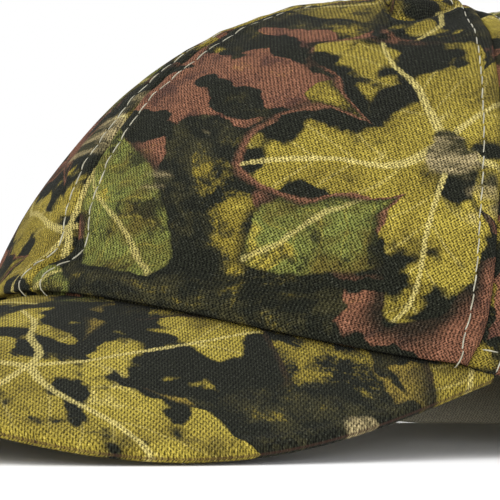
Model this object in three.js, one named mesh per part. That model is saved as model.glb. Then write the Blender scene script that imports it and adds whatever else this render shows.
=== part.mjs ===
// A soft six-panel cap with a curved peak, lying on a table on its rear rim and the two sides of its peak.
// Millimetres, +Z up. The front faces -Y and the wearer's left side is +X.
import * as THREE from 'three';

// Crown: six cloth gores that meet under a covered button.
const crownHalfLength = 102.5;   // middle of the rim to its front, along the head
const crownHalfWidth = 82;
const crownHeight = 96;          // floor to the level of the top
const clothThickness = 2;
const pieceGap = 0.3;            // between neighbouring pieces
const frontSeamAngle = 61;       // seam between a front and a side panel, degrees round from the front
const rearSeamAngle = 121;       // seam between a side and a rear panel
const rearSeamLean = 15;         // how far that seam leans forward on its way up, degrees
const frontRimHeight = 29.6;     // top of the peak where the middle of the front rim meets it
const rimDescentMargin = 5;      // degrees past the peak's corners where the rim starts down to the floor
const rimFloorFrom = 0.6;        // the rim lies flat on the floor behind this share of the half length
const rimEase = 1.25;            // how softly the side rim comes down to the floor

// Peak: a stiff crescent, arched from side to side, that tucks under the front rim.
const peakReach = 64.5;          // past the front rim, on the centre line
const peakThickness = 3;
const peakSlope = 0.19;          // fall per millimetre of reach
const peakCornerAngle = 63;      // where its corners end under the side panels
const peakSquareness = 2.45;     // 2 is an ellipse, more is squarer
const peakFlare = 0.15;          // how much its sides swell past its corners

// Button over the point where the panels meet.
const buttonRadius = 7;
const buttonHeight = 3.2;
const buttonPostRadius = 2;
const buttonPostLength = 5;

// Sections of the crown from the rim to the top, at even steps along the cloth. Each row holds shares:
// rise from the rim to the top, reach to the front, half width, reach to the back.
const sections = [
  [0, 1, 1, 1],
  [0.23, 0.93, 0.985, 1],
  [0.46, 0.83, 0.9, 0.985],
  [0.67, 0.7, 0.77, 0.92],
  [0.83, 0.545, 0.61, 0.8],
  [0.93, 0.395, 0.44, 0.65],
  [0.985, 0.25, 0.295, 0.45],
  [1, 0.11, 0.15, 0.245],
  [0.975, -0.035, 0, 0.035],
];
const topSection = sections.length - 1;

// Folds and dents of the cloth: degrees round from the front (left is positive), section, half width in
// sections, half length in degrees, bow in sections, and depth as a share of the cloth thickness.
const folds = [
  [41, 4.95, 0.26, 25, 0.9, 1.7],
  [37, 5.65, 0.4, 24, 0.7, -1.2],
  [33, 4.4, 0.24, 22, 0.3, 0.6],
  [5, 0.5, 0.4, 5, 0, 0.7],
  [-18, 1.9, 1.6, 6, 0, 0.7],
  [-33, 2.6, 1.8, 6, 0, -0.6],
  [-44, 5.2, 0.35, 18, 0.5, 1.1],
  [96, 3.6, 0.8, 16, 0.4, 1.2],
  [-98, 2.4, 0.9, 13, -0.5, 1.3],
  [148, 4.6, 0.6, 20, 0.6, 1.6],
  [-157, 2.2, 1.3, 12, 0.4, 1],
];
const foldFreeRim = 0.8;         // the folds die out over this many sections above the rim
const leanEnd = 5.5;             // section where the rear seams have done leaning

// Fineness of the faceting.
const panelColumns = 14;
const panelRows = 22;
const topRowCrowding = 1.35;     // above 1 the rows crowd towards the folded top
const peakColumns = 44;
const peakRows = 8;
const buttonSegments = 32;

const radians = (degrees) => THREE.MathUtils.degToRad(degrees);

// Forward, left and up to the frame of the object.
const place = (forward, left, up) => new THREE.Vector3(left, -forward, up);

const cornerForward = crownHalfLength * Math.cos(radians(peakCornerAngle));
const cornerLeft = crownHalfWidth * Math.sin(radians(peakCornerAngle));

// Height of the peak's top surface: it falls forward from the front rim and to both sides by its arch.
function peakHeight(forward, left, arch) {
  return frontRimHeight - peakSlope * (forward - crownHalfLength) - arch * (left / cornerLeft) ** 2;
}

// Outer edge of the peak at -1 (right corner) to 1 (left corner).
function peakEdge(across) {
  const angle = Math.abs(across) * Math.PI / 2;
  const power = 2 / peakSquareness;
  const reach = crownHalfLength + peakReach - cornerForward;
  const width = cornerLeft * (1 + peakFlare * Math.sin(2 * angle));
  return [
    cornerForward + reach * Math.max(Math.cos(angle), 0) ** power,
    Math.sign(across) * width * Math.sin(angle) ** power,
  ];
}

// A point of the peak's top surface and its upward normal.
function peakSurface(forward, left, arch) {
  const normal = place(peakSlope, 2 * arch * left / cornerLeft ** 2, 1).normalize();
  return [place(forward, left, peakHeight(forward, left, arch)), normal];
}

// The arch that lets the underside of the peak's edge just touch the floor.
function archToFloor() {
  const lowestUnderside = (arch) => {
    let lowest = Infinity;
    for (let i = 0; i <= peakColumns; i += 1) {
      const [point, normal] = peakSurface(...peakEdge(i / peakColumns), arch);
      lowest = Math.min(lowest, point.z - peakThickness * normal.z);
    }
    return lowest;
  };
  let low = 0;
  let high = frontRimHeight * 2;
  for (let i = 0; i < 40; i += 1) {
    const middle = (low + high) / 2;
    if (lowestUnderside(middle) > 0) low = middle;
    else high = middle;
  }
  return low;
}
const peakArch = archToFloor();

// Height of the crown's rim: level with the peak to just past its corners, then down to the floor and flat
// along the back.
const descentAngle = radians(peakCornerAngle + rimDescentMargin);
const descentForward = crownHalfLength * Math.cos(descentAngle);
const descentHeight = peakHeight(descentForward, crownHalfWidth * Math.sin(descentAngle), peakArch);

function rimHeight(angle, forward, left) {
  if (Math.abs(angle) <= descentAngle) return peakHeight(forward, left, peakArch);
  const floorForward = -rimFloorFrom * crownHalfLength;
  const share = Math.max(forward - floorForward, 0) / (descentForward - floorForward);
  return descentHeight * share ** rimEase;
}

// Catmull-Rom through one column of the section table. Past the top the crown goes on down its other side.
function sectionShare(column, section) {
  const [rise, front, side, back] = sections[topSection - 1];
  const beyond = [rise, -back, -side, -front];
  const first = 2 * sections[0][column] - sections[1][column];
  const row = (i) => (i < 0 ? first : i > topSection ? beyond[column] : sections[i][column]);
  const i = Math.min(Math.floor(section), topSection - 1);
  const t = section - i;
  const [a, b, c, d] = [row(i - 1), row(i), row(i + 1), row(i + 2)];
  return 0.5 * (2 * b + (c - a) * t + (2 * a - 5 * b + 4 * c - d) * t ** 2 + (3 * b - a - 3 * c + d) * t ** 3);
}

// The unfolded crown at an angle round from the front and a section from the rim (0) to the top.
function smoothCrown(angle, section) {
  const [rise, front, side, back] = [0, 1, 2, 3].map((column) => sectionShare(column, section));
  const forward = crownHalfLength * ((front - back) / 2 + (front + back) / 2 * Math.cos(angle));
  const left = crownHalfWidth * side * Math.sin(angle);
  const rimForward = crownHalfLength * Math.cos(angle);
  const rim = rimHeight(angle, rimForward, crownHalfWidth * Math.sin(angle));
  return place(forward, left, rim + (crownHeight - rim) * rise);
}

function crownNormal(angle, section) {
  const step = 0.01;
  const upper = Math.min(section + step, topSection);
  const lower = Math.max(section - step, 0);
  const round = smoothCrown(angle + step, section).sub(smoothCrown(angle - step, section));
  const up = smoothCrown(angle, upper).sub(smoothCrown(angle, lower));
  return round.cross(up).normalize();
}

// Depth of all folds at a place on the crown, inward positive.
function foldDepth(angle, section) {
  const degrees = THREE.MathUtils.radToDeg(angle);
  let depth = 0;
  for (const [at, level, halfWidth, halfLength, bow, share] of folds) {
    const along = (((degrees - at) % 360 + 540) % 360 - 180) / halfLength;
    const over = (section - level - bow * along ** 2) / halfWidth;
    depth += share * clothThickness * Math.exp(-(along ** 2) - over ** 2);
  }
  return depth * THREE.MathUtils.smoothstep(section, 0, foldFreeRim);
}

// A point of the crown, a given depth of cloth inside its outer face.
function crownPoint(angle, section, inside = 0) {
  const normal = crownNormal(angle, section);
  const point = smoothCrown(angle, section);
  return point.addScaledVector(normal, -inside - foldDepth(angle, section));
}

// A closed solid between two grids of points. Seen from the front face, its columns run to the right and its
// rows upward.
function closedShell(front, back) {
  const rows = front.length;
  const columns = front[0].length;
  const positions = [...front.flat(), ...back.flat()].flatMap((p) => [p.x, p.y, p.z]);
  const faces = [];
  const quad = (a, b, c, d) => faces.push(a, b, c, a, c, d);
  const frontIndex = (row, column) => row * columns + column;
  const backIndex = (row, column) => rows * columns + row * columns + column;
  for (let r = 0; r < rows - 1; r += 1) {
    for (let c = 0; c < columns - 1; c += 1) {
      quad(frontIndex(r, c), frontIndex(r, c + 1), frontIndex(r + 1, c + 1), frontIndex(r + 1, c));
      quad(backIndex(r, c), backIndex(r + 1, c), backIndex(r + 1, c + 1), backIndex(r, c + 1));
    }
  }
  const border = [];
  for (let c = 0; c < columns - 1; c += 1) border.push([0, c]);
  for (let r = 0; r < rows - 1; r += 1) border.push([r, columns - 1]);
  for (let c = columns - 1; c > 0; c -= 1) border.push([rows - 1, c]);
  for (let r = rows - 1; r > 0; r -= 1) border.push([r, 0]);
  border.forEach(([r, c], i) => {
    const [nextRow, nextColumn] = border[(i + 1) % border.length];
    quad(backIndex(r, c), backIndex(nextRow, nextColumn), frontIndex(nextRow, nextColumn), frontIndex(r, c));
  });
  const geometry = new THREE.BufferGeometry();
  geometry.setAttribute('position', new THREE.Float32BufferAttribute(positions, 3));
  geometry.setIndex(faces);
  geometry.computeVertexNormals();
  return geometry;
}

// Angle of a seam at a section. Only the seams in front of the rear panels lean.
function seamAngle(degrees, section) {
  const lean = Math.abs(degrees) === rearSeamAngle ? Math.sign(degrees) * rearSeamLean : 0;
  return radians(degrees - lean * THREE.MathUtils.smoothstep(section, 0, leanEnd));
}

// Angle that moves a seam's edge sideways by half the gap between two panels.
function seamInset(angle, section) {
  const step = 0.01;
  const sideways = smoothCrown(angle + step, section).distanceTo(smoothCrown(angle - step, section));
  return pieceGap / 2 / (sideways / (2 * step));
}

// The panels stop round the post of the button.
const lastSection = topSection - (buttonPostRadius + pieceGap) / (crownHalfWidth * sections[topSection - 1][2]);

// One gore between two seams, given in degrees round from the front.
function panel(fromDegrees, toDegrees) {
  const outer = [];
  const inner = [];
  for (let r = 0; r <= panelRows; r += 1) {
    const section = lastSection * (1 - (1 - r / panelRows) ** topRowCrowding);
    const fromSeam = seamAngle(fromDegrees, section);
    const toSeam = seamAngle(toDegrees, section);
    const from = fromSeam + seamInset(fromSeam, section);
    const to = toSeam - seamInset(toSeam, section);
    const outerRow = [];
    const innerRow = [];
    for (let c = 0; c <= panelColumns; c += 1) {
      const angle = from + (to - from) * c / panelColumns;
      outerRow.push(crownPoint(angle, section));
      const point = crownPoint(angle, section, clothThickness);
      if (r === 0) point.z = rimHeight(angle, -point.y, point.x);
      innerRow.push(point);
    }
    outer.push(outerRow);
    inner.push(innerRow);
  }
  return closedShell(outer, inner);
}

// The peak between its outer edge and the inner face of the front rim, which rests on it.
function peak() {
  const top = [];
  const bottom = [];
  for (let r = 0; r <= peakRows; r += 1) {
    const topRow = [];
    const bottomRow = [];
    for (let c = 0; c <= peakColumns; c += 1) {
      const across = 2 * c / peakColumns - 1;
      const angle = across * radians(peakCornerAngle);
      const rimForward = (crownHalfLength - clothThickness) * Math.cos(angle);
      const rimLeft = (crownHalfWidth - clothThickness) * Math.sin(angle);
      const [edgeForward, edgeLeft] = peakEdge(across);
      const forward = THREE.MathUtils.lerp(edgeForward, rimForward, r / peakRows);
      const left = THREE.MathUtils.lerp(edgeLeft, rimLeft, r / peakRows);
      const [point, normal] = peakSurface(forward, left, peakArch);
      bottomRow.push(point.clone().addScaledVector(normal, -peakThickness));
      topRow.push(point.addScaledVector(normal, -pieceGap));
    }
    top.push(topRow);
    bottom.push(bottomRow);
  }
  return closedShell(top, bottom);
}

// A domed button whose post goes down between the tips of the panels. Its flat underside clears the cloth.
function topButton() {
  const apex = smoothCrown(0, topSection);
  let seat = apex.z;
  for (let angle = 0; angle < 360; angle += 6) {
    for (let section = topSection; section > topSection - 1; section -= 0.05) {
      const point = crownPoint(radians(angle), section);
      if (Math.hypot(point.x - apex.x, point.y - apex.y) < buttonRadius) seat = Math.max(seat, point.z);
    }
  }
  const profile = [
    new THREE.Vector2(0, -buttonPostLength),
    new THREE.Vector2(buttonPostRadius, -buttonPostLength),
    new THREE.Vector2(buttonPostRadius, 0),
    new THREE.Vector2(buttonRadius - pieceGap, 0),
  ];
  for (let i = 0; i < 8; i += 1) {
    const turn = i / 8 * Math.PI / 2;
    profile.push(new THREE.Vector2(buttonRadius * Math.cos(turn), pieceGap + buttonHeight * Math.sin(turn)));
  }
  profile.push(new THREE.Vector2(0, pieceGap + buttonHeight));
  const geometry = new THREE.LatheGeometry(profile, buttonSegments);
  geometry.rotateX(Math.PI / 2);
  geometry.translate(apex.x, apex.y, seat + pieceGap);
  return geometry;
}

const cap = new THREE.Group();

function addPiece(name, geometry, color, roughness = 0.95) {
  const material = new THREE.MeshStandardMaterial({ color, roughness, metalness: 0 });
  const mesh = new THREE.Mesh(geometry, material);
  mesh.name = name;
  cap.add(mesh);
}

const seams = [0, frontSeamAngle, rearSeamAngle, 180];
['front', 'side', 'rear'].forEach((where, i) => {
  addPiece(`panel_${where}_left`, panel(seams[i], seams[i + 1]), 0x5b5a2c);
  addPiece(`panel_${where}_right`, panel(-seams[i + 1], -seams[i]), 0x5b5a2c);
});
addPiece('peak', peak(), 0x4f5030);
addPiece('top_button', topButton(), 0x4a3b2a);

// The middle of the underside of the whole cap is the origin.
const bounds = new THREE.Box3().setFromObject(cap);
cap.position.set(-(bounds.min.x + bounds.max.x) / 2, -(bounds.min.y + bounds.max.y) / 2, -bounds.min.z);

export default cap;
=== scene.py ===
"""A soft six-panel camouflage cap with an arched peak, resting on a pale floor."""
import math

import bmesh
import bpy
import numpy as np
from mathutils import Matrix, Vector


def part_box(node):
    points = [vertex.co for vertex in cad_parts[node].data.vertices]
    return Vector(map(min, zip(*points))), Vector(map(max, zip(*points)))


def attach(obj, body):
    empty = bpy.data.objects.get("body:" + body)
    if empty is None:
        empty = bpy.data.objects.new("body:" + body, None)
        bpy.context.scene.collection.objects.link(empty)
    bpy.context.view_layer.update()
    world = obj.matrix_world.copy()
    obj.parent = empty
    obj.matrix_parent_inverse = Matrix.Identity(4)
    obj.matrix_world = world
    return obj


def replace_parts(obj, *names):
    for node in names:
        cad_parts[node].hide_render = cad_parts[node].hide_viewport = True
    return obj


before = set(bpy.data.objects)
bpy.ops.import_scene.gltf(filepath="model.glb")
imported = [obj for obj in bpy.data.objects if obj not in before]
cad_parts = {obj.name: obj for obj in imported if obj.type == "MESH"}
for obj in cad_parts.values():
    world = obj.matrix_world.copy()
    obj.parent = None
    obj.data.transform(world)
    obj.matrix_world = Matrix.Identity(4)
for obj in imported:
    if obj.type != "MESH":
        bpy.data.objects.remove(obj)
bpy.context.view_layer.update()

MM = 0.001

# Sizes of the cap in millimetres and degrees, as in the part's source.
CROWN_HALF_LENGTH = 102.5
CROWN_HALF_WIDTH = 82.0
CROWN_HEIGHT = 96.0
CLOTH = 2.0
PIECE_GAP = 0.3
FRONT_SEAM = 61.0
REAR_SEAM = 121.0
REAR_SEAM_LEAN = 15.0
LEAN_END = 5.5
FRONT_RIM_HEIGHT = 29.6
RIM_DESCENT_MARGIN = 5.0
RIM_FLOOR_FROM = 0.6
RIM_EASE = 1.25
PEAK_REACH = 64.5
PEAK_THICKNESS = 3.0
PEAK_SLOPE = 0.19
PEAK_CORNER = 63.0
PEAK_SQUARENESS = 2.45
PEAK_FLARE = 0.15
BUTTON_RADIUS = 7.0
BUTTON_HEIGHT = 3.2
BUTTON_POST_RADIUS = 2.0

# Sections of the crown: rise, reach to the front, half width and reach to the back, as shares.
SECTIONS = np.array([
    (0, 1, 1, 1),
    (0.23, 0.93, 0.985, 1),
    (0.46, 0.83, 0.9, 0.985),
    (0.67, 0.7, 0.77, 0.92),
    (0.83, 0.545, 0.61, 0.8),
    (0.93, 0.395, 0.44, 0.65),
    (0.985, 0.25, 0.295, 0.45),
    (1, 0.11, 0.15, 0.245),
    (0.975, -0.035, 0, 0.035),
])
TOP = len(SECTIONS) - 1

# Folds: degrees round from the front, section, half width in sections, half length in degrees, bow in
# sections and depth as a share of the cloth. The first eight are the solids' own, the others are finer.
# The last takes back most of the third, so that the outline of the front is straight.
FOLDS = [
    (5, 0.5, 0.4, 5, 0, 0.7),
    (-18, 1.9, 1.6, 6, 0, 0.7),
    (-33, 2.6, 1.8, 6, 0, -0.6),
    (-44, 5.2, 0.35, 18, 0.5, 1.1),
    (96, 3.6, 0.8, 16, 0.4, 1.2),
    (-98, 2.4, 0.9, 13, -0.5, 1.3),
    (148, 4.6, 0.6, 20, 0.6, 1.6),
    (-157, 2.2, 1.3, 12, 0.4, 1),
    (-9, 0.8, 0.7, 3, 0, 0.35),
    (18, 2.2, 1.3, 5, 0.2, 0.25),
    (70, 1.2, 0.9, 5, 0, 0.3),
    (112, 0.9, 0.7, 6, 0, 0.4),
    (168, 1.4, 1.0, 5, 0, 0.4),
    (-31, 2.4, 1.05, 9, 0, 0.6),
]
FOLD_FREE_RIM = 0.8

# The slack folds in front of the button: the first lip and a crease below it, as degrees and section.
LIP = (
    (14, 6.4), (26, 5.9), (33, 5.45), (36, 5.0), (38.5, 4.62), (41, 4.42), (45, 4.42),
    (48, 4.6), (50.5, 4.76), (53.5, 5.03), (57, 5.25), (60, 5.4), (66, 5.5), (74, 5.5),
)
CREASE = ((30, 3.6), (37.5, 3.85), (41.5, 4.08), (45, 4.2), (49, 4.5), (53, 4.7))

# How the seams wander sideways as they were drawn up in sewing: section and degrees.
CENTRE_DRIFT = (
    (0, -0.3), (0.08, -0.8), (0.2, -1.6), (0.3, -1.4), (0.39, -0.1), (0.46, 1.8),
    (0.54, 3.4), (0.68, 4.2), (0.82, 3.9), (1.0, 2.8), (1.25, 1.5), (1.7, 0.5),
    (2.2, -0.5), (2.8, -1.6), (3.6, -1.2), (5, 0), (8, 0),
)
FRONT_DRIFT = (
    (0, -1.3), (0.12, -1.2), (0.3, -0.2), (0.5, 0.1), (1.6, -0.2), (3, 0.3),
    (4, 0.9), (5.5, 2.2), (7, 0),
)

# Sewing.
SEAM_ROW = 3.9            # topstitching each side of a seam
SEAM_ROW_END = 7.3        # section where it ends, under the button
RIM_ROW = 4.2             # stitching above the rim
STITCH_PITCH = 3.8
STITCH_LENGTH = 3.62
STITCH_LIFT = 0.11        # of a stitch's middle over the cloth
STITCH_DIVE = 0.34        # of its ends below its middle
STITCH_SLANT = 0.11       # of its ends sideways
THREAD_RADIUS = 0.145
VISIBLE_GAP = 0.04        # between the rolled edges of two panels

# The rim over the peak.
NECK = 0.35               # height of the slit between crown and peak
SLIT_LIFT = 0.59          # rise of the turned-in cloth per millimetre inward, from both slopes
FRONT_TURN_IN = 2.1       # how much further the face turns in than on the free rim
ALLOWANCE = 1.7           # what the seam allowance adds to the wall
PEAK_TUCK = 1.2           # how far the peak reaches past the inside of the wall

# Fineness of the meshes.
PANEL_COLUMNS = 150
PANEL_ROWS = 190
PEAK_COLUMNS = 260
PEAK_ROWS = 110
EDGE_ROWS = 12


def smoothstep(value, low, high):
    """Cubic ease from 0 at low to 1 at high."""
    share = np.clip((value - low) / (high - low), 0, 1)
    return share * share * (3 - 2 * share)


def bell(value, centre, width):
    """Gaussian bell, 1 at its centre."""
    return np.exp(-((value - centre) / width) ** 2)


def unit(vector):
    """A vector, or a grid of them, at length 1."""
    return vector / np.linalg.norm(vector, axis=-1, keepdims=True)


def waves(along, length, seed):
    """Smooth uneven waves of about a given length: five sines with seeded lengths and phases."""
    chance = np.random.default_rng(seed)
    total = np.zeros_like(along)
    for _ in range(5):
        own_length = length * chance.uniform(0.6, 1.7)
        total = total + np.sin(2 * np.pi * along / own_length + chance.uniform(0, 2 * np.pi))
    return total / 5


def smooth_line(rows, spread):
    """A table as a smooth function: straight between its rows, then blurred by a bell of that spread."""
    at, value = np.array(rows, float).T
    grid = np.linspace(at[0], at[-1], 1201)
    reach = 4 * spread
    kernel = bell(np.arange(-reach, reach, grid[1] - grid[0]), 0, spread)
    padded = np.pad(np.interp(grid, at, value), (len(kernel) // 2, (len(kernel) - 1) // 2), mode="edge")
    blurred = np.convolve(padded, kernel / kernel.sum(), "valid")
    return lambda x: np.interp(x, grid, blurred)


lip_section = smooth_line(LIP, 1.3)
crease_section = smooth_line(CREASE, 1.5)
centre_drift = smooth_line(CENTRE_DRIFT, 0.035)
front_drift = smooth_line(FRONT_DRIFT, 0.05)


# Place of the cap in the frame: the front is towards -Y, and the solids' peak gives the shift along Y.
LENGTH_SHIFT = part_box("peak")[0][1] / MM + CROWN_HALF_LENGTH + PEAK_REACH
CORNER_FORWARD = CROWN_HALF_LENGTH * math.cos(math.radians(PEAK_CORNER))
CORNER_LEFT = CROWN_HALF_WIDTH * math.sin(math.radians(PEAK_CORNER))


def place(forward, left, up):
    """Forward, left and up as points of the frame, in millimetres."""
    return np.stack(np.broadcast_arrays(left, LENGTH_SHIFT - forward, up), -1)


def peak_height(forward, left, arch):
    """Top of the peak: a plane that falls forward, less an arch that grows with the square of left."""
    plane = FRONT_RIM_HEIGHT - PEAK_SLOPE * (forward - CROWN_HALF_LENGTH)
    return plane - arch * (left / CORNER_LEFT) ** 2


def peak_edge(across):
    """Outer edge from the right corner (-1) to the left (1): a squared ellipse whose sides swell."""
    angle = np.abs(across) * np.pi / 2
    power = 2 / PEAK_SQUARENESS
    reach = CROWN_HALF_LENGTH + PEAK_REACH - CORNER_FORWARD
    width = CORNER_LEFT * (1 + PEAK_FLARE * np.sin(2 * angle))
    forward = CORNER_FORWARD + reach * np.maximum(np.cos(angle), 0) ** power
    return forward, np.sign(across) * width * np.sin(angle) ** power


def peak_normal(left, arch):
    """Upward normal of the peak's top at a distance to the left."""
    slope = 2 * arch * left / CORNER_LEFT ** 2
    return unit(np.stack(np.broadcast_arrays(slope, -PEAK_SLOPE, 1.0), -1))


def arch_to_floor():
    """The arch that lets the underside of the peak's edge just touch the floor, by halving."""
    forward, left = peak_edge(np.linspace(0, 1, 200))
    low, high = 0.0, FRONT_RIM_HEIGHT * 2
    for _ in range(40):
        middle = (low + high) / 2
        thickness = PEAK_THICKNESS * peak_normal(left, middle)[..., 2]
        if (peak_height(forward, left, middle) - thickness).min() > 0:
            low = middle
        else:
            high = middle
    return low


PEAK_ARCH = arch_to_floor()
DESCENT = math.radians(PEAK_CORNER + RIM_DESCENT_MARGIN)
DESCENT_FORWARD = CROWN_HALF_LENGTH * math.cos(DESCENT)
DESCENT_HEIGHT = peak_height(DESCENT_FORWARD, CROWN_HALF_WIDTH * math.sin(DESCENT), PEAK_ARCH)


def rim_height(angle, forward, left):
    """Level with the peak in front, then down to the floor and flat along the back."""
    floor_forward = -RIM_FLOOR_FROM * CROWN_HALF_LENGTH
    share = np.maximum(forward - floor_forward, 0) / (DESCENT_FORWARD - floor_forward)
    on_peak = peak_height(forward, left, PEAK_ARCH)
    return np.where(np.abs(angle) <= DESCENT, on_peak, DESCENT_HEIGHT * share ** RIM_EASE)


def section_shares(section):
    """Catmull-Rom through the section table, which goes on down the other side past the top."""
    rise, front, side, back = SECTIONS[-2]
    rows = np.vstack([2 * SECTIONS[0] - SECTIONS[1], SECTIONS, (rise, -back, -side, -front)])
    index = np.clip(np.floor(section).astype(int), 0, TOP - 1)
    t = (section - index)[..., None]
    a, b, c, d = (rows[index + step] for step in range(4))
    shares = 0.5 * (2 * b + (c - a) * t + (2 * a - 5 * b + 4 * c - d) * t ** 2
                    + (3 * b - a - 3 * c + d) * t ** 3)
    return np.moveaxis(shares, -1, 0)


def smooth_crown(angle, section):
    """The unfolded crown: at each section an ellipse whose middle moves back and forth."""
    rise, front, side, back = section_shares(section)
    forward = CROWN_HALF_LENGTH * ((front - back) / 2 + (front + back) / 2 * np.cos(angle))
    left = CROWN_HALF_WIDTH * side * np.sin(angle)
    rim = rim_height(angle, CROWN_HALF_LENGTH * np.cos(angle), CROWN_HALF_WIDTH * np.sin(angle))
    return place(forward, left, rim + (CROWN_HEIGHT - rim) * rise)


def crown_normal(angle, section):
    """Outward normal of the unfolded crown, from central differences."""
    step = 0.01
    round_ = smooth_crown(angle + step, section) - smooth_crown(angle - step, section)
    upper = smooth_crown(angle, np.minimum(section + step, TOP))
    return unit(np.cross(round_, upper - smooth_crown(angle, np.maximum(section - step, 0))))


def fold_depth(angle, section):
    """Sum of all folds, each a bell across and along a bowed line, in millimetres inward."""
    degrees = np.degrees(angle)
    depth = 0
    for at, level, half_width, half_length, bow, share in FOLDS:
        along = (((degrees - at) % 360 + 540) % 360 - 180) / half_length
        over = (section - level - bow * along ** 2) / half_width
        depth = depth + share * CLOTH * np.exp(-along ** 2 - over ** 2)
    return depth * smoothstep(section, 0, FOLD_FREE_RIM)


def slack_folds(angle, section):
    """The slack in front of the button, in millimetres outward: a lip, the hollow behind it, a second
    fold with its own hollow, a crease, a saddle in front of the button, a dip and a swell beside it."""
    degrees = np.degrees(angle)
    behind = section - lip_section(degrees)
    first = 0.8 * bell(behind, -0.02, 0.16) - 2.3 * bell(behind, 0.34, 0.22)
    second = 1.4 * bell(behind, 0.8, 0.27) - 0.8 * bell(behind, 1.25, 0.26)
    nested = first + second * (1 - smoothstep(degrees, 46, 60))
    nested = nested * smoothstep(degrees, 22, 36) * (1 - smoothstep(degrees, 54, 68))
    crease = 0.65 * bell(section, crease_section(degrees), 0.085) * bell(degrees, 42, 8)
    saddle = -1.1 * bell(degrees, 47.8, 6) * smoothstep(section, 5.2, 5.9)
    dip = -2.8 * smoothstep(degrees, 57, 74) * (1 - smoothstep(degrees, 98, 125))
    dip = dip * smoothstep(section, 4.4, 5.7)
    swell = 1.5 * bell(degrees, 36, 8) * bell(section, 5.7, 0.7)
    return nested + crease + (saddle + dip + swell) * (1 - smoothstep(section, 6.9, 7.7))


def seam_angle(degrees, section):
    """Angle of a seam at a section: the seams at the rear panels lean forward, the front ones wander."""
    if abs(degrees) == REAR_SEAM:
        drift = -math.copysign(REAR_SEAM_LEAN, degrees) * smoothstep(section, 0, LEAN_END)
    elif abs(degrees) == FRONT_SEAM:
        drift = math.copysign(1, degrees) * front_drift(section)
    else:
        drift = centre_drift(section) if degrees == 0 else 0
    return np.radians(degrees + drift * np.ones_like(section))


def mm_per_radian(angle, section):
    """Length round the crown for a radian of angle."""
    step = 0.01
    span = smooth_crown(angle + step, section) - smooth_crown(angle - step, section)
    return np.linalg.norm(span, axis=-1) / (2 * step)


def stitch_channel(distance, row, along, depth):
    """The channel that a row of stitches draws, deeper at each stitch, in millimetres outward."""
    beat = np.cos(2 * np.pi * along / STITCH_PITCH)
    return -(depth + 0.06 * beat) * bell(distance, row, 0.75)


def seam_relief(distance, along, seed):
    """Outward relief beside a seam: the rolled edge, the band over the seam allowance, the channel of
    the topstitching and its puckers."""
    rolled = -1.0 * np.exp(-(distance / 0.75) ** 1.5)
    band = 0.42 * (1 - smoothstep(distance, SEAM_ROW + 0.8, SEAM_ROW + 3.2))
    channel = stitch_channel(distance, SEAM_ROW, along, 0.26)
    drawn = 0.32 * waves(along, 13, seed) * bell(distance, 2.5, 6)
    ripple = 0.16 * waves(along, 6.5, seed + 50) * bell(distance, SEAM_ROW, 4)
    return rolled + band + channel + drawn + ripple


def on_front(angle):
    """1 where the crown is sewn to the peak and 0 where its rim is free."""
    return 1 - smoothstep(np.abs(np.degrees(angle)), FRONT_SEAM - 2, FRONT_SEAM + 1.5)


def rim_bulge(angle, height):
    """How far cloth and lining bulge out over the peak, in millimetres outward."""
    return 0.55 * on_front(angle) * bell(height, 2.8, 2.4)


def rim_meeting(angle):
    """How far inside the unfolded crown the face and the lining meet at the rim."""
    return CLOTH / 2 + FRONT_TURN_IN * on_front(angle)


def rim_roll(angle, height):
    """How far the face turns in at the rim: an ellipse half a cloth high, above a neck on the peak."""
    roll = np.clip(1 - (height - NECK * on_front(angle)) / (CLOTH / 2), 0, 1)
    return rim_meeting(angle) * (1 - np.sqrt(1 - roll ** 2))


def rim_relief(angle, height, along):
    """Outward relief above the rim: the face turns in, and a free rim bulges below its stitching."""
    hem = 0.35 * (1 - smoothstep(height, RIM_ROW + 0.2, RIM_ROW + 2))
    free = (1 - on_front(angle)) * (hem + stitch_channel(height, RIM_ROW, along, 0.28))
    return free - rim_roll(angle, height) + rim_bulge(angle, height)


def cloth_waves(angle, section):
    """Slight unevenness of the loose cloth, in millimetres outward."""
    degrees = np.degrees(angle)
    uneven = waves(degrees + 9 * section, 34, 5) + waves(degrees - 14 * section, 23, 6)
    return 0.35 * uneven * smoothstep(section, 0, 1.2) * (1 - smoothstep(section, 6.5, 7.5))


def arc_lengths(points, axis):
    """Running length along one axis of a grid of points, starting at 0."""
    steps = np.linalg.norm(np.diff(points, axis=axis), axis=-1)
    start = np.zeros_like(np.take(steps, [0], axis=axis))
    return np.concatenate([start, np.cumsum(steps, axis=axis)], axis=axis)


# Length along the rim from the middle of the front, by angle.
RIM_ANGLES = np.linspace(0, np.pi, 721)
RIM_LENGTHS = arc_lengths(smooth_crown(RIM_ANGLES, np.zeros(721)), 0)


def rim_length(angle):
    """Length along the rim to an angle, the same on both sides."""
    return np.interp(np.abs(angle), RIM_ANGLES, RIM_LENGTHS)


def large_relief(angle, section):
    """The folds and waves that face and lining share, in millimetres outward."""
    return cloth_waves(angle, section) - fold_depth(angle, section) + slack_folds(angle, section)


def seam_seed(degrees):
    """Seed of the puckers beside a seam, the same for both of its panels and its stitches."""
    return 11 + round(abs(degrees))


def crown_relief(angle, section, to_seam, along_seam, above_rim, seed):
    """All outward relief of the crown's face over its unfolded shape, in millimetres."""
    relief = seam_relief(to_seam, along_seam, seed) + rim_relief(angle, above_rim, rim_length(angle))
    return relief + large_relief(angle, section)


def grid_faces(rows, columns, first=0, flipped=False):
    """Quads of a grid whose points run along the columns, then row by row."""
    row, column = np.meshgrid(np.arange(rows - 1), np.arange(columns - 1), indexing="ij")
    corner = (first + row * columns + column).ravel()
    quads = np.stack([corner, corner + 1, corner + columns + 1, corner + columns], -1)
    return quads[:, ::-1] if flipped else quads


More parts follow.
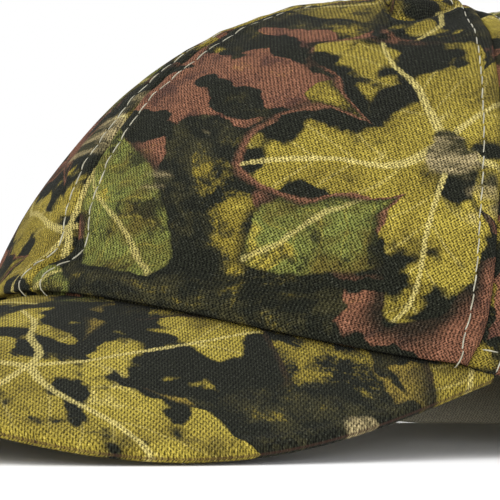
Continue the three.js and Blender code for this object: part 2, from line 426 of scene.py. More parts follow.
def border_indices(rows, columns):
    """The outline of a grid, counter-clockwise as seen from its front."""
    index = np.arange(rows * columns).reshape(rows, columns)
    return np.concatenate([index[0, :-1], index[:-1, -1], index[-1, :0:-1], index[:0:-1, 0]])


def in_scene(name, data):
    """A new object of the scene."""
    item = bpy.data.objects.new(name, data)
    bpy.context.scene.collection.objects.link(item)
    return item


def new_piece(name, points, faces, materials, face_materials=None, cloth=None):
    """A mesh in metres from points in millimetres, without double points, made known to the frame."""
    mesh = bpy.data.meshes.new(name)
    mesh.from_pydata((points.reshape(-1, 3) * MM).tolist(), [], faces.tolist())
    mesh.polygons.foreach_set("use_smooth", np.ones(len(mesh.polygons), bool))
    for material in materials:
        mesh.materials.append(material)
    if face_materials is not None:
        mesh.polygons.foreach_set("material_index", face_materials.astype(np.int32))
    if cloth is not None:
        attribute = mesh.attributes.new("cloth", "FLOAT_VECTOR", "POINT")
        attribute.data.foreach_set("vector", (cloth * MM).astype(np.float32).ravel())
    joined = bmesh.new()
    joined.from_mesh(mesh)
    bmesh.ops.remove_doubles(joined, verts=joined.verts, dist=1e-6)
    bmesh.ops.dissolve_degenerate(joined, edges=joined.edges, dist=1e-7)
    joined.to_mesh(mesh)
    joined.free()
    mesh.update()
    piece = in_scene(name, mesh)
    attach(piece, "root")
    return piece


def shell_piece(name, face, lining, materials, cloth):
    """A closed shell between two grids. Its face takes the first material and its lining the second."""
    rows, columns = face.shape[:2]
    count = rows * columns
    border = border_indices(rows, columns)
    following = np.roll(border, -1)
    wall = np.stack([border + count, following + count, following, border], -1)
    front = grid_faces(rows, columns)
    rear = grid_faces(rows, columns, count, flipped=True)
    faces = np.concatenate([front, rear, wall])
    numbers = np.concatenate([np.zeros(len(front)), np.ones(len(rear)), np.zeros(len(wall))])
    points = np.concatenate([face.reshape(-1, 3), lining.reshape(-1, 3)])
    both = np.concatenate([cloth.reshape(-1, 3)] * 2)
    return new_piece(name, points, faces, materials, numbers, both)


def crowded(count, crowding):
    """Shares from 0 to 1 that crowd towards both ends: x less a sine of two turns."""
    x = np.linspace(0, 1, count)
    return x - crowding * np.sin(2 * np.pi * x) / (2 * np.pi)


LAST_SECTION = TOP - (BUTTON_POST_RADIUS + PIECE_GAP) / (CROWN_HALF_WIDTH * SECTIONS[-2][2])
HEM_SECTIONS = np.array([0, 0.003, 0.012, 0.018, 0.024, 0.033, 0.043, 0.052, 0.064, 0.08, 0.1, 0.12])


def crown_panel(name, from_degrees, to_degrees, print_shift, materials):
    """One gore: the crown between two seams, with its sewing and folds, and a lining one cloth inside."""
    body = np.linspace(0.145, LAST_SECTION, PANEL_ROWS)
    section = np.concatenate([HEM_SECTIONS, body])[:, None]
    share = crowded(PANEL_COLUMNS, 0.6)[None, :]
    ends = []
    for degrees, side in ((from_degrees, 1), (to_degrees, -1)):
        seam = seam_angle(degrees, section)
        ends.append(seam + side * VISIBLE_GAP / 2 / mm_per_radian(seam, section))
    angle = ends[0] + (ends[1] - ends[0]) * share
    section = np.broadcast_to(section, angle.shape)
    smooth = smooth_crown(angle, section)
    across = arc_lengths(smooth, 1)
    width = across[:, -1:]
    above_rim = arc_lengths(smooth, 0)
    to_seam = np.minimum(across, width - across) + VISIBLE_GAP / 2
    reliefs = [crown_relief(angle, section, to_seam, above_rim, above_rim, seam_seed(degrees))
               for degrees in (from_degrees, to_degrees)]
    relief = np.where(across < width / 2, *reliefs)
    billow = smoothstep(section, 0, 1.5) * (1 - smoothstep(section, 5, 7))
    relief = relief + 0.5 * np.sin(np.pi * share) * billow
    normal = crown_normal(angle, section)
    face = smooth + normal * relief[..., None]
    # Over the peak the turned-in cloth stays level with it, which leaves a narrow slit.
    face[..., 2] += SLIT_LIFT * on_front(angle) * rim_roll(angle, above_rim)
    # There the wall is also thicker: it holds the seam allowance.
    meeting = rim_meeting(angle)
    wall = CLOTH + ALLOWANCE * on_front(angle) * (1 - smoothstep(above_rim, 5, 14))
    roll = np.clip(1 - above_rim / (wall - meeting), 0, 1)
    thickness = meeting + (wall - meeting) * np.sqrt(1 - roll ** 2)
    plain = large_relief(angle, section) + rim_bulge(angle, above_rim)
    lining = smooth + normal * (plain - thickness)[..., None]
    middle = PANEL_COLUMNS // 2
    over, up = arc_lengths(face, 1), arc_lengths(face, 0)
    sideways = over - over[:, middle:middle + 1]
    upward = np.broadcast_to(up[:, middle:middle + 1], up.shape)
    cloth = np.stack([sideways, upward, np.zeros_like(up)], -1) + np.array([*print_shift, 0])
    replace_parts(shell_piece(name, face, lining, materials, cloth), name)


def thread_tubes(name, line, up, radius, material):
    """Closed tubes of thread: rows of points, of upward directions and of radii, one row for a tube."""
    count, rings = line.shape[:2]
    sides = 6
    aside = unit(np.cross(np.gradient(line, axis=1), up))
    turn = np.arange(sides) / sides * 2 * np.pi
    ring = np.cos(turn)[:, None] * aside[..., None, :] + np.sin(turn)[:, None] * up[..., None, :]
    points = line[..., None, :] + ring * radius[..., None, None]
    index = np.arange(count * rings * sides).reshape(count, rings, sides)
    turned = np.roll(index, -1, axis=2)
    faces = [np.stack([index[:, :-1], turned[:, :-1], turned[:, 1:], index[:, 1:]], -1).reshape(-1, 4)]
    # Each end is closed by two quads.
    for ring_index, order in ((0, (0, 3, 2, 1)), (rings - 1, (0, 1, 2, 3))):
        for corners in ((0, 1, 2, 3), (0, 3, 4, 5)):
            faces.append(index[:, ring_index, [corners[i] for i in order]])
    new_piece(name, points, np.concatenate(faces), [material])


def thread_row(name, path, normals, along, first, last, material):
    """A row of stitches on a path: each lies a little askew and dives into the cloth at both ends."""
    rings = 9
    lowest, highest = first / STITCH_PITCH - 0.5, last / STITCH_PITCH - 0.5
    numbers = np.arange(math.ceil(lowest), math.floor(highest) + 1)
    share = np.sin(np.linspace(-1, 1, rings) * np.pi / 2)
    at = (numbers[:, None] + 0.5) * STITCH_PITCH + share[None, :] * STITCH_LENGTH / 2
    line, up = (np.stack([np.interp(at, along, rows[:, i]) for i in range(3)], -1)
                for rows in (path, normals))
    up = unit(up)
    askew = unit(np.cross(np.gradient(line, axis=1), up))
    lift = STITCH_LIFT - STITCH_DIVE * share ** 14
    line = line + up * lift[:, None] + askew * (STITCH_SLANT * share)[:, None]
    radius = np.broadcast_to(THREAD_RADIUS * np.sqrt(1 - 0.75 * share ** 8), at.shape)
    thread_tubes(name, line, up, radius, material)


def seam_threads(name, degrees, side, material):
    """Topstitching along one side of a seam, from the rim to under the button."""
    section = np.linspace(0.0, SEAM_ROW_END, 1200)
    seam = seam_angle(degrees, section)
    per_radian = mm_per_radian(seam, section)
    angle = seam + side * SEAM_ROW / per_radian
    if abs(degrees) == FRONT_SEAM:
        # At the foot the rows run straighter than the seam.
        angle = angle + math.copysign(math.radians(1.0), degrees) * (1 - smoothstep(section, 0.1, 0.35))
    smooth = smooth_crown(angle, section)
    along = arc_lengths(smooth, 0)
    distance = np.abs(angle - seam) * per_radian
    normal = crown_normal(angle, section)
    relief = crown_relief(angle, section, distance, along, along, seam_seed(degrees))
    thread_row(name, smooth + normal * relief[:, None], normal, along, 1.5, along[-1], material)


def rim_threads(name, side, material):
    """Stitching a little above the rim, from the front seam round to the back."""
    angle = np.radians(np.linspace(FRONT_SEAM - 1.2, 180, 1600))
    low = np.zeros_like(angle)
    rise = np.linalg.norm(smooth_crown(angle, low + 0.2) - smooth_crown(angle, low), axis=-1)
    section = 0.2 * RIM_ROW / rise
    beside = np.full_like(angle, 50.0)
    for degrees in (FRONT_SEAM, REAR_SEAM, 180):
        away = np.abs(angle - seam_angle(degrees, section)) * mm_per_radian(angle, section)
        beside = np.minimum(beside, away)
    angle = angle * side
    normal = crown_normal(angle, section)
    height = np.full_like(angle, RIM_ROW)
    relief = crown_relief(angle, section, beside, height, height, seam_seed(0))
    path = smooth_crown(angle, section) + normal * relief[:, None]
    along = rim_length(angle)
    thread_row(name, path, normal, along, along[0], along[-1], material)


def peak_pieces(materials):
    """The peak: a crescent between its outer edge and the inside of the front rim. Its half thickness
    follows a quarter circle near the edge, so the edge is round."""
    half = (PEAK_THICKNESS - PIECE_GAP) / 2
    across = crowded(PEAK_COLUMNS, 0.35)[None, :] * 2 - 1
    angle = across * math.radians(PEAK_CORNER)
    rim_forward = (CROWN_HALF_LENGTH - CLOTH - PEAK_TUCK) * np.cos(angle)
    rim_left = (CROWN_HALF_WIDTH - CLOTH - PEAK_TUCK) * np.sin(angle)
    edge_forward, edge_left = peak_edge(across)
    length = np.hypot(rim_forward - edge_forward, rim_left - edge_left)
    edge_turn = np.linspace(0, np.pi / 2, EDGE_ROWS)[:, None]
    rolled = half * (1 - np.cos(edge_turn))
    beyond = half + (length - half) * np.linspace(0, 1, PEAK_ROWS)[1:, None]
    from_edge = np.concatenate([rolled * np.ones_like(length), beyond])
    forward = edge_forward + (rim_forward - edge_forward) * from_edge / length
    left = edge_left + (rim_left - edge_left) * from_edge / length
    normal = peak_normal(left, PEAK_ARCH)
    top = place(forward, left, peak_height(forward, left, PEAK_ARCH))
    roll = np.clip(1 - from_edge / half, 0, 1)
    reach = half * np.sqrt(1 - roll ** 2)
    middle = top - normal * (PIECE_GAP + half)
    uneven = 0.16 * (waves(left + 0.4 * forward, 46, 31) + waves(forward - 0.3 * left, 33, 32))
    uneven = uneven * smoothstep(from_edge, 1, 14) * smoothstep(length - from_edge, 1, 18)
    ridge = 0.18 * bell(from_edge, 3.2, 1.6) - 0.12 * bell(from_edge, 5.6, 1.6)
    ridge = ridge * smoothstep(from_edge, half, half + 1.5)
    face = middle + normal * (reach + uneven + ridge)[..., None]
    under = middle - normal * reach[..., None]
    # The cloth is measured over the round edge, and carries the distance from it as a third number.
    curl = 2 * PEAK_ARCH * left / CORNER_LEFT ** 2
    bowed = np.arcsinh(curl) * CORNER_LEFT ** 2 / (4 * PEAK_ARCH)
    stretched = left / 2 * np.sqrt(1 + curl ** 2) + bowed
    over_edge = half * (np.arcsin(roll) - roll)
    out_forward = (edge_forward - rim_forward) / length
    out_left = (edge_left - rim_left) / length
    cloth = np.stack([stretched + out_left * over_edge, forward + out_forward * over_edge, from_edge], -1)
    cloth = cloth + np.array([*PEAK_PRINT, 0])
    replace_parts(shell_piece("peak", face, under, materials, cloth), "peak")


def top_button(material):
    """The covered button: a dome whose edge is turned under, with soft gathers that fade upwards."""
    low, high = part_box("top_button")
    seat = high[2] / MM - BUTTON_HEIGHT
    middle_x, middle_y = (low[0] + high[0]) / 2 / MM, (low[1] + high[1]) / 2 / MM
    turn = np.linspace(0, 2 * np.pi, 97)[:-1][None, :]
    step = np.linspace(0, 1, 40)[:, None]
    # The profile starts on the axis underneath, runs out to the edge and closes over the dome.
    slope = -np.pi / 2 + step * np.pi
    reach = BUTTON_RADIUS * np.cos(slope) ** 0.7
    rise = np.where(slope < 0, 0.6 * np.sin(slope), BUTTON_HEIGHT * np.sin(slope) ** 1.15)
    gather = 1 + 0.018 * np.sin(11 * turn + 0.6 * np.sin(3 * turn)) * np.cos(slope) ** 2
    radius = reach * gather
    places = (middle_x + radius * np.cos(turn), middle_y + radius * np.sin(turn), seat + rise)
    points = np.stack(np.broadcast_arrays(*places), -1)
    rows, columns = points.shape[:2]
    index = np.arange(rows * columns).reshape(rows, columns)
    turned = np.roll(index, -1, axis=1)
    sides = np.stack([index[1:-2], turned[1:-2], turned[2:-1], index[2:-1]], -1).reshape(-1, 4)
    # The first and the last ring are shrunk to a point, and each is closed by triangles to it.
    base, summit = index[0, 0], index[-1, 0]
    under = np.stack([np.full(columns, base), turned[1], index[1]], -1)
    over = np.stack([np.full(columns, summit), index[-2], turned[-2]], -1)
    used = np.concatenate([[base], index[1:-1].ravel(), [summit]])
    renumber = np.zeros(rows * columns, int)
    renumber[used] = np.arange(len(used))
    flat = points.reshape(-1, 3)[used]
    faces = [*renumber[sides].tolist(), *renumber[under].tolist(), *renumber[over].tolist()]
    faces = np.array(faces, dtype=object)
    cloth = (flat - np.array([middle_x, middle_y, 0])) * np.array([1, 1, 0])
    cloth = cloth + np.array([*BUTTON_PRINT, 0])
    piece = new_piece("top_button", flat, faces, [material], cloth=cloth)
    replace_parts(piece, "top_button")


class Signal:
    """A value that a shader node puts out. Arithmetic on it adds Math nodes to its tree."""

    def __init__(self, tree, socket):
        self.tree = tree
        self.socket = socket

    def math(self, operation, *others):
        """The result of a Math node on this signal and others."""
        node = self.tree.nodes.new("ShaderNodeMath")
        node.operation = operation
        for socket, value in zip(node.inputs, (self, *others)):
            feed(socket, value)
        return Signal(self.tree, node.outputs[0])

    def __add__(self, other):
        return self.math("ADD", other)

    def __sub__(self, other):
        return self.math("SUBTRACT", other)

    def __mul__(self, other):
        return self.math("MULTIPLY", other)

    def __truediv__(self, other):
        return self.math("DIVIDE", other)

    def __pow__(self, other):
        return self.math("POWER", other)

    def __rsub__(self, other):
        return self * -1 + other

    def __abs__(self):
        return self.math("ABSOLUTE")

    __radd__ = __add__
    __rmul__ = __mul__


def feed(socket, value):
    """Links a signal to a socket, or sets the socket to a plain value."""
    if isinstance(value, Signal):
        value.tree.links.new(value.socket, socket)
    else:
        socket.default_value = value


def ease(value, low, high):
    """0 below low, 1 above high and a smooth step between them."""
    node = value.tree.nodes.new("ShaderNodeMapRange")
    node.interpolation_type = "SMOOTHSTEP"
    for socket, given in zip(node.inputs, (value, low, high)):
        feed(socket, given)
    return Signal(value.tree, node.outputs[0])


def mix_colour(share, under, over):
    """A share of the one colour laid over the other. At least one of the three is a signal."""
    tree = next(value.tree for value in (share, under, over) if isinstance(value, Signal))
    node = tree.nodes.new("ShaderNodeMix")
    node.data_type = "RGBA"
    feed(node.inputs["Factor"], share)
    feed(node.inputs[6], under if isinstance(under, Signal) else (*under, 1))
    feed(node.inputs[7], over if isinstance(over, Signal) else (*over, 1))
    return Signal(tree, node.outputs[2])


def layered(colour, *layers):
    """Colours laid one after another over the first, each with its share."""
    for share, over in layers:
        colour = mix_colour(share, colour, over)
    return colour


def vector_math(operation, first, second):
    """One vector operation on a signal and a second value."""
    node = first.tree.nodes.new("ShaderNodeVectorMath")
    node.operation = operation
    feed(node.inputs[0], first)
    feed(node.inputs["Scale"] if operation == "SCALE" else node.inputs[1], second)
    return Signal(first.tree, node.outputs[0])


def parts_of(vector):
    """The three numbers of a vector signal."""
    node = vector.tree.nodes.new("ShaderNodeSeparateXYZ")
    feed(node.inputs[0], vector)
    return [Signal(vector.tree, output) for output in node.outputs]


def noise(vector, size, detail=2.0, roughness=0.5, at=0.0, coloured=False):
    """Noise whose blobs are about a given size in millimetres, from a vector in millimetres."""
    node = vector.tree.nodes.new("ShaderNodeTexNoise")
    feed(node.inputs["Vector"], vector_math("ADD", vector, (at * 17.3, at * 9.1, at * 5.7)))
    node.inputs["Scale"].default_value = 1 / size
    node.inputs["Detail"].default_value = detail
    node.inputs["Roughness"].default_value = roughness
    return Signal(vector.tree, node.outputs[1 if coloured else 0])


def warped(vector, size, reach, detail=2.0, at=0.0):
    """A vector in millimetres pushed about by noise, by about a given reach."""
    push = vector_math("SUBTRACT", noise(vector, size, detail, 0.6, at, True), (0.5, 0.5, 0.5))
    return vector_math("ADD", vector, vector_math("MULTIPLY", push, (4 * reach, 4 * reach, 0)))


def new_group(name, inputs, outputs):
    """A shader node group with named sockets. Returns it with its input signals."""
    tree = bpy.data.node_groups.new(name, "ShaderNodeTree")
    for label, kind, value in inputs:
        socket = tree.interface.new_socket(label, in_out="INPUT", socket_type=kind)
        if value is not None:
            socket.default_value = value
    for label, kind in outputs:
        tree.interface.new_socket(label, in_out="OUTPUT", socket_type=kind)
    entry = tree.nodes.new("NodeGroupInput")
    return tree, {label: Signal(tree, entry.outputs[label]) for label, _, _ in inputs}


def put_out(tree, **values):
    """Links signals to a group's outputs of the same names."""
    leave = tree.nodes.new("NodeGroupOutput")
    for label, value in values.items():
        feed(leave.inputs[label], value)


# The print's dyes, as linear colours.
BLACK_GREEN = (0.009, 0.0098, 0.0062)
DEEP_OLIVE = (0.026, 0.024, 0.0105)
MOSS = (0.07, 0.056, 0.0125)
OLIVE = (0.135, 0.103, 0.016)
BRIGHT_OLIVE = (0.215, 0.17, 0.027)
PALE_OLIVE = (0.335, 0.28, 0.095)
LEAF_GREEN = (0.1, 0.112, 0.026)
RUST = (0.125, 0.055, 0.031)
DARK_RUST = (0.055, 0.026, 0.018)
ORANGE = (0.23, 0.12, 0.036)
BARK = (0.2, 0.16, 0.08)
CREAM = (0.4, 0.35, 0.16)
REVERSE = (0.6, 0.56, 0.43)
FLECK_GREY = (0.17, 0.17, 0.15)
THREAD_COLOUR = (0.47, 0.45, 0.34)


def scattered(vector, spacing, jitter, at):
    """Cells about a given spacing apart, each turned by chance. Gives two numbers for the place in the
    cell's turned frame, the distance to its border, all in millimetres, and three chances."""
    tree = vector.tree
    moved = vector_math("ADD", vector, (at * 31.0, at * 13.0, 0))
    scaled = vector_math("SCALE", moved, 1 / spacing)
    cells = []
    for feature in ("F1", "DISTANCE_TO_EDGE"):
        node = tree.nodes.new("ShaderNodeTexVoronoi")
        node.voronoi_dimensions = "2D"
        node.feature = feature
        feed(node.inputs["Vector"], scaled)
        node.inputs["Scale"].default_value = 1.0
        node.inputs["Randomness"].default_value = jitter
        cells.append(node)
    centre = vector_math("SCALE", Signal(tree, cells[0].outputs["Position"]), spacing)
    chances = parts_of(Signal(tree, cells[0].outputs["Color"]))
    border = Signal(tree, cells[1].outputs["Distance"]) * spacing
    turn = tree.nodes.new("ShaderNodeVectorRotate")
    turn.rotation_type = "Z_AXIS"
    feed(turn.inputs["Vector"], vector_math("SUBTRACT", moved, centre))
    feed(turn.inputs["Angle"], chances[0] * (2 * math.pi))
    x, y, _ = parts_of(Signal(tree, turn.outputs[0]))
    return x, y, border, chances


def lobed_leaf(x, y, border, reach, lobes, depth, ragged):
    """A leaf with pointed lobes and round notches about its stalk. Gives how far inside its outline a
    point is and the nearness to a vein and to a side vein."""
    radius = (x * x + y * y) ** 0.5
    angle = y.math("ARCTAN2", x)
    swing = (angle * (lobes / (2 * math.pi))).math("PINGPONG", 0.5) * 2
    teeth = (angle * (lobes * 3.5 / math.pi)).math("PINGPONG", 0.5)
    shrink = 1 - 0.25 * (1 - angle.math("COSINE"))
    notch = swing ** 1.5
    outline = shrink * (1 - depth * notch) * (1 - 0.3 * teeth * notch) * reach
    inside = (outline - radius).math("SMOOTH_MIN", border - 1, 3) + ragged
    off_vein = radius * (swing * (math.pi / lobes)).math("SINE")
    width = (1 - radius / reach) * 0.78 + 0.2
    main = 1 - ease(off_vein / width, 0.55, 1.1)
    side = (radius - off_vein * 1.3).math("PINGPONG", 4.2)
    side = (1 - ease(side, 0.18, 0.6)) * (1 - ease(off_vein, 5, 13)) * ease(radius, 6, 12)
    return inside, main, side


def plain_leaf(x, y, border, length, width, ragged):
    """A pointed oval leaf. Gives how far inside its outline a point is and the nearness to its midrib and
    to a side vein."""
    along = x / (length / 2)
    bend = y + (1 - along * along) * 2.5
    half = (1 - along * along) * (width / 2) * (1 + 0.3 * along)
    off_vein = abs(bend)
    inside = (half - off_vein).math("SMOOTH_MIN", border - 1, 2) + ragged
    main = 1 - ease(off_vein, 0.3, 0.85)
    side = (x - off_vein * 0.8).math("PINGPONG", 3.1)
    side = (1 - ease(side, 0.15, 0.55)) * ease(inside, 0.5, 4)
    return inside, main, side


def leaf_print():
    """The camouflage, laid one motif over another from the cloth's coordinates in metres."""
    inputs = [("Cloth", "NodeSocketVector", None), ("Rust", "NodeSocketFloat", 1.0)]
    tree, given = new_group("leaf print", inputs, [("Color", "NodeSocketColor")])
    cloth = vector_math("MULTIPLY", given["Cloth"], (1 / MM, 1 / MM, 0))
    fine = warped(cloth, 0.8, 0.14, 0, 1)
    soft = warped(fine, 34, 3.2, 2, 2)
    torn = warped(soft, 7, 0.9, 1, 3)
    mottle = noise(torn, 8, 5, 0.66, 4) + (noise(cloth, 0.6, 0, 0.5, 19) - 0.5) * 0.1
    region = noise(soft, 36, 2, 0.5, 5)
    fray = noise(torn, 4.5, 1.5, 0.5, 6) - 0.5

    # The ground: near-black with moss that thickens in places.
    growth = mottle + (region - 0.5) * 0.95
    colour = layered(
        BLACK_GREEN,
        (ease(mottle, 0.42, 0.62), DEEP_OLIVE),
        (ease(growth, 0.53, 0.61), MOSS),
        (ease(growth, 0.585, 0.65), OLIVE),
        (ease(growth, 0.67, 0.78), BRIGHT_OLIVE),
    )

    # Rust blots with dark shapes in them. A print without rust has olive there.
    bent = warped(fine, 13, 3.0, 2, 7)
    blot = ease(noise(bent, 30, 2, 0.5, 8) + fray * 0.03, 0.495, 0.51)
    shape = noise(vector_math("MULTIPLY", bent, (0.7, 1.3, 1)), 13, 1.5, 0.5, 9)
    rust = layered(
        DARK_RUST,
        (ease(mottle, 0.34, 0.52), RUST),
        (ease(mottle, 0.58, 0.75) * 0.7, ORANGE),
    )
    olive = mix_colour(ease(mottle, 0.42, 0.56), MOSS, OLIVE)
    colour = layered(
        colour,
        (blot * 0.92, BLACK_GREEN),
        (blot * ease(shape + fray * 0.03, 0.455, 0.475), mix_colour(given["Rust"], olive, rust)),
    )

    # Oval leaves, green or olive.
    x, y, border, chance = scattered(warped(fine, 16, 1.8, 2, 10), 50, 0.8, 11)
    inside, main, side = plain_leaf(x, y, border, 62, 25, fray * 1.6)
    present = ease(chance[1], 0.5, 0.51)
    shade = noise(torn, 11, 4, 0.65, 12)
    own_colour = mix_colour(ease(chance[2], 0.6, 0.61), OLIVE, LEAF_GREEN)
    leaf = layered(
        MOSS,
        (ease(shade, 0.36, 0.62), own_colour),
        (side * 0.25, BRIGHT_OLIVE),
        (ease(shade + fray * 0.2, 0.58, 0.7), BRIGHT_OLIVE),
        (ease(mottle, 0.52, 0.62) * 0.8, BLACK_GREEN),
        (main * 0.55, PALE_OLIVE),
    )
    colour = layered(
        colour,
        (ease(inside, -4, 0) * present * 0.8, BLACK_GREEN),
        (ease(inside, -0.5, 0.7) * present, leaf),
    )

    # Large lobed leaves, bitten by dark holes near their edges.
    x, y, border, chance = scattered(warped(fine, 30, 4.0, 1, 13), 92, 0.75, 14)
    inside, main, side = lobed_leaf(x, y, border, 72, 5, 0.6, fray * 1.6)
    present = ease(chance[1], 0.2, 0.21)
    shade = noise(torn, 15, 4, 0.62, 15)
    bite = noise(torn, 9, 2.5, 0.5, 20) * 0.6 + noise(soft, 20, 1, 0.5, 16) * 0.6
    bite = bite + (1 - ease(inside, 0, 12)) * 0.05 + fray * 0.04
    leaf = layered(
        OLIVE,
        (ease(shade, 0.34, 0.58), BRIGHT_OLIVE),
        (ease(y, -4, 5) * 0.4, OLIVE),
        ((1 - ease(shade + fray * 0.2, 0.33, 0.44)) * 0.7, MOSS),
        (ease(shade + fray * 0.2, 0.6, 0.74) * 0.8, PALE_OLIVE),
        (side * 0.3, PALE_OLIVE),
        (ease(bite, 0.62, 0.672), BLACK_GREEN),
        (main * 0.75, PALE_OLIVE),
    )
    rim = ease(inside, -3.0, -0.4) * ease(region + fray * 0.3, 0.5, 0.56)
    colour = layered(
        colour,
        (ease(inside, -7, -1) * present * 0.9, BLACK_GREEN),
        (rim * present * given["Rust"] * 0.8, RUST),
        (ease(inside, -0.5, 0.7) * present, leaf),
    )

    # Bark and dry stalks: pale bands with dark cracks, here and there.
    crack = noise(vector_math("MULTIPLY", soft, (0.4, 2.0, 1)), 9, 4, 0.6, 17)
    bark = layered(
        DEEP_OLIVE,
        (ease(crack, 0.38, 0.55), BARK),
        (ease(crack, 0.54, 0.66), CREAM),
    )
    where = noise(soft, 46, 2, 0.5, 18) + fray * 0.06
    colour = mix_colour(ease(where, 0.645, 0.67), colour, bark)
    put_out(tree, Color=colour)
    return tree


# The three strongest waves of the weave: turns per millimetre across and up the cloth, and weight.
CROWN_WEAVE = ((1.28, 0.6, 0.52), (1.18, -1.51, 0.46), (1.51, 1.56, 0.36))
PEAK_WEAVE = ((1.01, -1.61, 0.5), (1.07, -0.64, 0.38), (-0.3, -1.0, 0.22))


def twill_weave(name, weave, uneven):
    """Twill as a sum of three waves, uneven from yarn to yarn. Height is 1 on the ribs and 0 between
    them. Fleck is 1 on the few yarns that took little dye."""
    outputs = [("Height", "NodeSocketFloat"), ("Fleck", "NodeSocketFloat")]
    tree, given = new_group(name, [("Cloth", "NodeSocketVector", None)], outputs)
    cloth = vector_math("MULTIPLY", given["Cloth"], (1 / MM, 1 / MM, 0))
    x, y, _ = parts_of(warped(cloth, 4, 0.05, 1, 1))
    height = 0.5
    for across, up, weight in weave:
        height = ((x * across + y * up) * (2 * math.pi)).math("COSINE") * (weight * 0.5) + height
    yarn = noise(cloth, 0.28, 1, 0.6, 2)
    height = height + (yarn - 0.5) * uneven
    fleck = noise(cloth, 0.5, 1, 0.6, 3)
    put_out(tree, Height=height, Fleck=ease(fleck, 0.56, 0.68) * ease(height, 0.5, 0.8))
    return tree


def use_group(tree, group, **values):
    """Places a group and sets its inputs. Gives its outputs by name."""
    node = tree.nodes.new("ShaderNodeGroup")
    node.node_tree = group
    for label, value in values.items():
        feed(node.inputs[label], value)
    return {output.name: Signal(tree, output) for output in node.outputs}


def new_material(name, roughness, sheen, view_colour):
    """A material with its tree and its shader. The colour is what a plain view shows."""
    material = bpy.data.materials.new(name)
    material.use_nodes = True
    material.diffuse_color = (*view_colour, 1)
    tree = material.node_tree
    shader = tree.nodes["Principled BSDF"]
    shader.inputs["Roughness"].default_value = roughness
    shader.inputs["Sheen Weight"].default_value = sheen
    shader.inputs["Sheen Roughness"].default_value = 0.5
    shader.inputs["Specular IOR Level"].default_value = 0.06
    return material, tree, shader


def cloth_coordinates(tree):
    """Where a point lay on the flat cloth, in metres."""
    node = tree.nodes.new("ShaderNodeAttribute")
    node.attribute_name = "cloth"
    return Signal(tree, node.outputs["Vector"])


def finish(shader, colour, height, relief):
    """Gives a shader its colour, and a bump whose height of 0 to 1 stands for a relief in metres."""
    node = height.tree.nodes.new("ShaderNodeBump")
    node.inputs["Distance"].default_value = relief
    node.inputs["Strength"].default_value = 1.0
    feed(node.inputs["Height"], height)
    feed(shader.inputs["Base Color"], colour)
    feed(shader.inputs["Normal"], Signal(height.tree, node.outputs[0]))


def printed_cloth(name, print_group, weave_group, relief, rust=1.0, edge=False):
    """Printed twill flecked with grey, with painted shade between its ribs and painted light on them. An
    edged cloth darkens to dark rust where the third cloth coordinate is least: painted shade, partly
    fray."""
    material, tree, shader = new_material(name, 0.95, 0.02, OLIVE)
    cloth = cloth_coordinates(tree)
    weave = use_group(tree, weave_group, Cloth=cloth)
    dye = use_group(tree, print_group, Cloth=cloth, Rust=rust)["Color"]
    # Painted shade and light of the weave: the dye is darker between the ribs and lighter on them.
    shade = ease(weave["Height"], -0.1, 1.1) * 1.9 + 0.22
    colour = vector_math("SCALE", dye, shade)
    colour = vector_math("SCALE", colour, weave["Fleck"] * 0.6 + 1)
    colour = mix_colour(weave["Fleck"] * 0.12, colour, FLECK_GREY)
    if edge:
        # Painted shade of the edge's underside, partly fray: the colour goes half way to dark rust at the
        # edge.
        from_edge = parts_of(cloth)[2]
        colour = mix_colour((1 - ease(from_edge, 0.01 * MM, 0.07 * MM)) * 0.5, colour, DARK_RUST)
    finish(shader, colour, weave["Height"], relief)
    return material


def reverse_cloth(print_group, weave_group):
    """The back of the cloth: undyed yarn through which the print shows faintly."""
    material, tree, shader = new_material("back of the cloth", 0.95, 0.04, CREAM)
    cloth = cloth_coordinates(tree)
    weave = use_group(tree, weave_group, Cloth=cloth)
    dye = use_group(tree, print_group, Cloth=cloth)["Color"]
    colour = mix_colour(0.9, dye, REVERSE)
    # Painted shade and light of the weave: darker between the ribs, lighter on them.
    colour = vector_math("SCALE", colour, ease(weave["Height"], -0.1, 1.1) * 0.7 + 0.62)
    finish(shader, colour, weave["Height"], 0.1 * MM)
    return material


def sewing_thread():
    """Ecru thread of two twisted plies."""
    material, tree, shader = new_material("ecru thread", 0.6, 0.3, THREAD_COLOUR)
    node = tree.nodes.new("ShaderNodeTexCoord")
    place_mm = vector_math("SCALE", Signal(tree, node.outputs["Object"]), 1 / MM)
    x, y, z = parts_of(place_mm)
    twist = ((x + y + z) * (2 * math.pi / 0.45)).math("SINE")
    tone = noise(place_mm, 1.5, 2, 0.6, 1)
    colour = mix_colour(ease(tone, 0.35, 0.7), (0.3, 0.28, 0.2), THREAD_COLOUR)
    finish(shader, colour, twist * 0.5 + 0.5, 0.08 * MM)
    return material


# Where each piece was cut from the printed cloth, in millimetres.
PEAK_PRINT = (170.0, -274.0)
PEAK_RUST = 0.12          # share of the rust dye in the peak's stretch of print
BUTTON_PRINT = (133.0, 412.0)
PANELS = (
    ("panel_front_left", 0, FRONT_SEAM, (52.0, 96.0)),
    ("panel_front_right", -FRONT_SEAM, 0, (-138.0, 13.0)),
    ("panel_side_left", FRONT_SEAM, REAR_SEAM, (318.0, 244.0)),
    ("panel_side_right", -REAR_SEAM, -FRONT_SEAM, (-97.0, 305.0)),
    ("panel_rear_left", REAR_SEAM, 180, (205.0, -160.0)),
    ("panel_rear_right", -180, -REAR_SEAM, (-330.0, -142.0)),
)
SEAMS = (("centre_front", 0), ("front_left", FRONT_SEAM), ("front_right", -FRONT_SEAM),
         ("rear_left", REAR_SEAM), ("rear_right", -REAR_SEAM), ("centre_rear", 180))


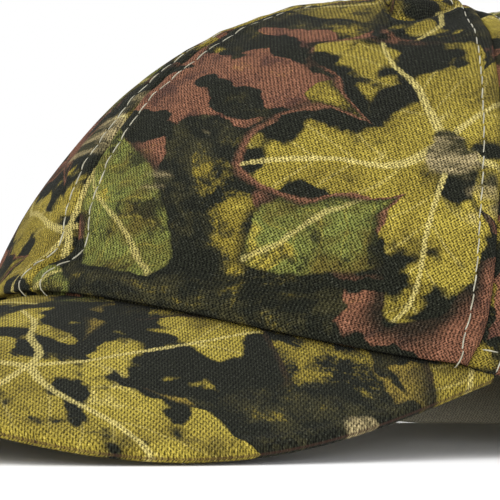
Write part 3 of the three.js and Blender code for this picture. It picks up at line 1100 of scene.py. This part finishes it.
def build_cap():
    """The six panels, the peak, the button and all stitching."""
    dyes = leaf_print()
    crown_weave = twill_weave("twill of the crown", CROWN_WEAVE, 2.5)
    peak_weave = twill_weave("twill of the peak", PEAK_WEAVE, 1.9)
    outer = printed_cloth("camouflage twill", dyes, crown_weave, 0.16 * MM)
    peak_cloth = printed_cloth("camouflage twill of the peak", dyes, peak_weave, 0.14 * MM,
                               rust=PEAK_RUST, edge=True)
    button_cloth = printed_cloth("camouflage twill of the button", dyes, crown_weave, 0.14 * MM)
    lining = reverse_cloth(dyes, crown_weave)
    thread = sewing_thread()
    for name, first, last, print_shift in PANELS:
        crown_panel(name, first, last, print_shift, [outer, lining])
    peak_pieces([peak_cloth, peak_cloth])
    top_button(button_cloth)
    for where, degrees in SEAMS:
        seam_threads(f"topstitch_{where}_a", degrees, 1, thread)
        seam_threads(f"topstitch_{where}_b", degrees, -1, thread)
    rim_threads("rim_stitching_left", 1, thread)
    rim_threads("rim_stitching_right", -1, thread)


# The camera of the photograph: how far and from where it looks at the floor under the crown's middle,
# and where that point lies in its picture.
CAMERA_DISTANCE = 536.2
CAMERA_AZIMUTH = 47.7
CAMERA_ELEVATION = 2.4
CAMERA_ROLL = 0.63
PIXELS_PER_MM = 4.444
PICTURE_SIZE = 500
CROWN_FOOT_PIXEL = (416.4, 436.8)


def add_camera():
    """Puts the camera on its ray and aims it so that the crown's foot falls on its pixel."""
    azimuth, elevation, roll = np.radians([CAMERA_AZIMUTH, CAMERA_ELEVATION, CAMERA_ROLL])
    back = np.array([np.sin(azimuth) * np.cos(elevation), -np.cos(azimuth) * np.cos(elevation),
                     np.sin(elevation)])
    right = np.array([np.cos(azimuth), np.sin(azimuth), 0])
    up = np.cross(back, right)
    picture_right = np.cos(roll) * right + np.sin(roll) * up
    picture_up = np.cross(back, picture_right)
    focal = PIXELS_PER_MM * CAMERA_DISTANCE
    aside = (PICTURE_SIZE / 2 - CROWN_FOOT_PIXEL[0]) / focal
    above = (CROWN_FOOT_PIXEL[1] - PICTURE_SIZE / 2) / focal
    backward = unit(back - aside * picture_right - above * picture_up)
    up = unit(np.cross(backward, picture_right))
    data = bpy.data.cameras.new("camera")
    data.sensor_width = 36
    data.lens = focal / PICTURE_SIZE * data.sensor_width
    data.clip_start = 0.01
    camera = in_scene("camera", data)
    turn = np.stack([np.cross(up, backward), up, backward], -1)
    foot = np.array([0, LENGTH_SHIFT, 0])
    place_at = Matrix.Translation(Vector((foot + back * CAMERA_DISTANCE) * MM))
    camera.matrix_world = place_at @ Matrix(turn.tolist()).to_4x4()
    bpy.context.scene.camera = camera


def add_light(name, azimuth, elevation, distance, size, power):
    """A square soft light that looks at the cap."""
    data = bpy.data.lights.new(name, "AREA")
    data.size = size
    data.energy = power
    lamp = in_scene(name, data)
    a, e = math.radians(azimuth), math.radians(elevation)
    lamp.location = (distance * math.sin(a) * math.cos(e), -distance * math.cos(a) * math.cos(e),
                     distance * math.sin(e))
    lamp.rotation_euler = (math.pi / 2 - e, 0, a)


def add_studio():
    """A large pale floor, a white surround, a soft key light in front and a low one at the left."""
    mesh = bpy.data.meshes.new("floor")
    reach = 6.0
    corners = [(-reach, -reach, 0), (reach, -reach, 0), (reach, reach, 0), (-reach, reach, 0)]
    mesh.from_pydata(corners, [], [(0, 1, 2, 3)])
    floor = in_scene("floor", mesh)
    material, _, shader = new_material("pale floor", 0.9, 0.0, (0.9, 0.9, 0.9))
    shader.inputs["Base Color"].default_value = (0.93, 0.93, 0.93, 1)
    mesh.materials.append(material)
    world = bpy.data.worlds.new("white surround")
    world.use_nodes = True
    background = world.node_tree.nodes["Background"]
    background.inputs["Color"].default_value = (1, 1, 1, 1)
    background.inputs["Strength"].default_value = 1.0
    bpy.context.scene.world = world
    add_light("key light", 0, 28, 1.2, 0.6, 6.5)
    add_light("low side light", 64, 8, 1.1, 0.3, 6)
    bpy.context.scene.view_settings.view_transform = "Standard"


add_camera()
build_cap()
add_studio()
